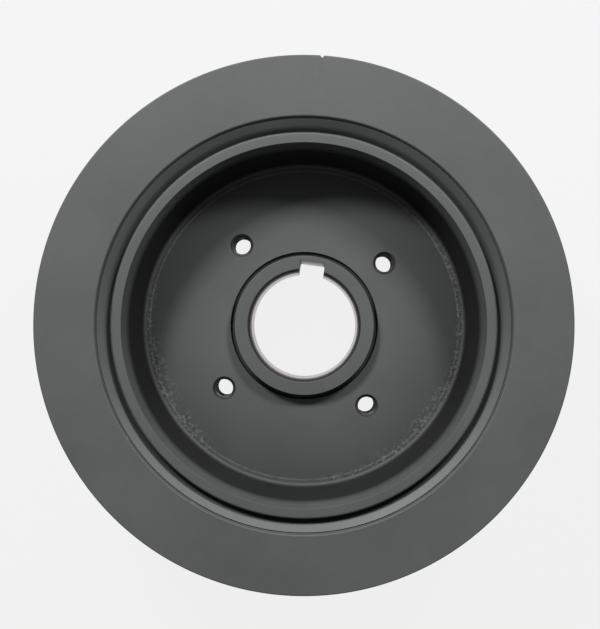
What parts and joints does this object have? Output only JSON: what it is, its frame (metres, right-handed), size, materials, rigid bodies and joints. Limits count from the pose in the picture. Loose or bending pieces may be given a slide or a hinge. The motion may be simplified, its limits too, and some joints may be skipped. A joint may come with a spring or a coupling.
{
  "type": "harmonic balancer",
  "caption": "Crankshaft harmonic balancer: cup-shaped keyed hub with a tapped pulley face, an elastomer ring and an outer inertia ring.",
  "frame": {"origin": "on the crankshaft's axis, at the rear end of the hub's nose, which the part rests on", "axes": "+Z along the crankshaft's axis to the front, where the pulley bolts on; the timing mark is 3.9 degrees clockwise of +Y, seen from the front"},
  "size_m": [0.196, 0.196, 0.071],
  "materials": {
    "hub": "satin dark grey coating over machined grey iron, bare in the bore and keyway",
    "elastomer": "moulded rubber, coated dark grey with the rest at its front end",
    "inertia_ring": "satin dark grey coating over machined grey iron"
  },
  "bodies": {
    "root": {"hub": "hub", "elastomer_ring": "elastomer", "inertia_ring": "inertia_ring"}
  },
  "joints": []
}
